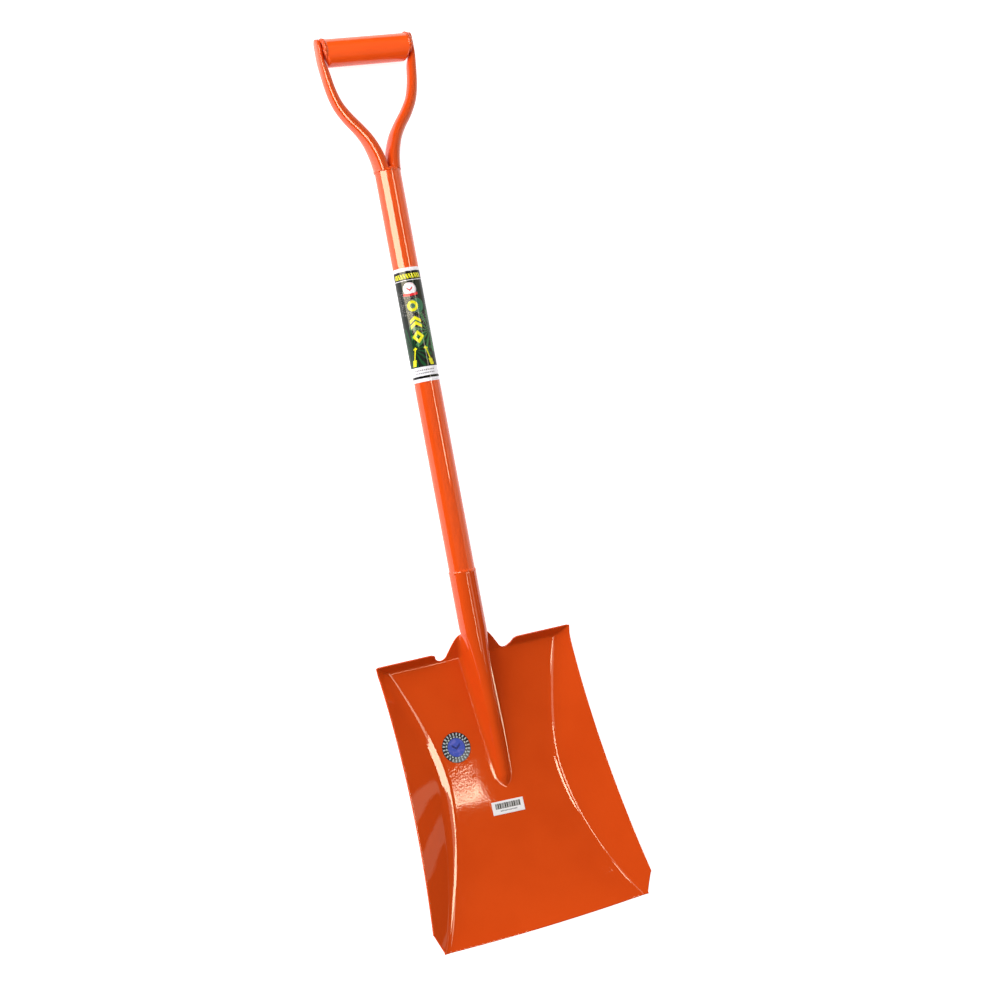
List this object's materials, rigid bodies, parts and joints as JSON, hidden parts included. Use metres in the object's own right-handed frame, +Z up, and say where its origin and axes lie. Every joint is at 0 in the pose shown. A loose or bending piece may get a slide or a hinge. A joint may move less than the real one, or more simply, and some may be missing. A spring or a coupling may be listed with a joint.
{
  "type": "square-mouth shovel",
  "caption": "All-steel square-mouth shovel with a D-handle, round tube shaft, foot treads and a ridged, shallow-walled blade, painted gloss orange.",
  "frame": {"origin": "centre of the bounding box on the floor that the shovel lies on, back down", "axes": "+X across the blade, +Y along the shaft towards the grip, +Z up out of the hollow side of the blade"},
  "size_m": [0.2716, 1.0246, 0.0847],
  "materials": {
    "orange_paint": "gloss orange enamel over steel, slightly wavy, with small runs at the welds",
    "printed_label": "glossy printed film, dark green and black with white and yellow bands",
    "seal_foil": "bright foil with a blue centre and fine radial lines",
    "white_sticker": "matt white film with black bars"
  },
  "bodies": {
    "root": {"blade": "orange_paint", "socket_seam_weld": "orange_paint", "shaft_tube": "orange_paint", "socket_weld": "orange_paint", "yoke_weld": "orange_paint", "yoke_branch_left": "orange_paint", "yoke_branch_right": "orange_paint", "grip_tube": "orange_paint", "grip_weld_left": "orange_paint", "grip_weld_right": "orange_paint", "shaft_label": "printed_label", "round_seal": "seal_foil", "barcode_sticker": "white_sticker"}
  },
  "joints": []
}
